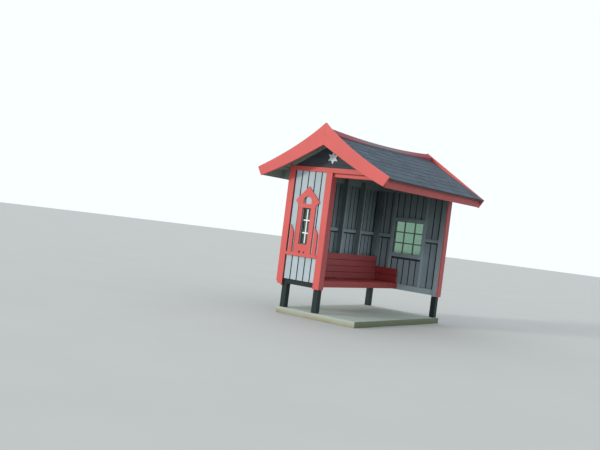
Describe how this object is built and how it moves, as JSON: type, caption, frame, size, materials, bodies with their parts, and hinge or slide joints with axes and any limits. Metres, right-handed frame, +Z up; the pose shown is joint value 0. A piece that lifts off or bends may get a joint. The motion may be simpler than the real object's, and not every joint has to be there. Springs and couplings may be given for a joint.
{
  "type": "bus shelter",
  "caption": "Small timber roadside bus shelter with a pitched shingle roof, an open front, a half-closed gable, a full-length bench and windows, on post legs over a slab.",
  "frame": {"origin": "on the ground, under the middle of the ridge", "axes": "+X along the ridge towards the full end wall, -Y out of the open front, +Z up"},
  "size_m": [3.54, 2.58, 3.17],
  "materials": {
    "concrete": "weathered cast concrete",
    "post_paint": "black tar paint on the legs, grey paint above",
    "red_paint": "satin red paint on sawn boards",
    "grey_paint": "matt light grey paint on sawn boards",
    "bench_paint": "satin red paint on planed boards",
    "dark_stain": "dark stain on sawn boards",
    "shingles": "mineral-faced bitumen shingles",
    "star_paint": "off-white paint",
    "glass": "clear window glass"
  },
  "bodies": {
    "root": {"floor_slab": "concrete", "post_rear_left": "post_paint", "post_gable_middle": "post_paint", "post_rear_right": "post_paint", "post_front_right": "post_paint", "gable_headers": "red_paint", "gable_ties": "red_paint", "end_corner_boards": "red_paint", "side_corner_boards": "red_paint", "sill_rail": "red_paint", "window_pediment": "red_paint", "window_jambs": "red_paint", "window_apron": "red_paint", "window_brackets": "red_paint", "wide_window_casing": "red_paint", "ridge_boards": "red_paint", "near_front_bargeboard": "red_paint", "near_rear_bargeboard": "red_paint", "far_front_bargeboard": "red_paint", "far_rear_bargeboard": "red_paint", "fascia_boards": "red_paint", "wall_studs": "grey_paint", "wall_rails": "grey_paint", "rear_wall": "grey_paint", "end_wall": "grey_paint", "half_wall": "grey_paint", "front_plate": "grey_paint", "rear_plate": "grey_paint", "narrow_window_lining": "grey_paint", "wide_window_lining": "grey_paint", "wide_window_sill": "grey_paint", "bench_seat": "bench_paint", "bench_front_board": "bench_paint", "bench_backrest": "bench_paint", "bench_side_boards": "bench_paint", "bench_bearers": "bench_paint", "gable_boarding": "dark_stain", "front_rafters": "dark_stain", "rear_rafters": "dark_stain", "front_roof_deck": "dark_stain", "rear_roof_deck": "dark_stain", "front_shingles": "shingles", "rear_shingles": "shingles", "gable_star": "star_paint", "window_glass": "glass"}
  },
  "joints": []
}
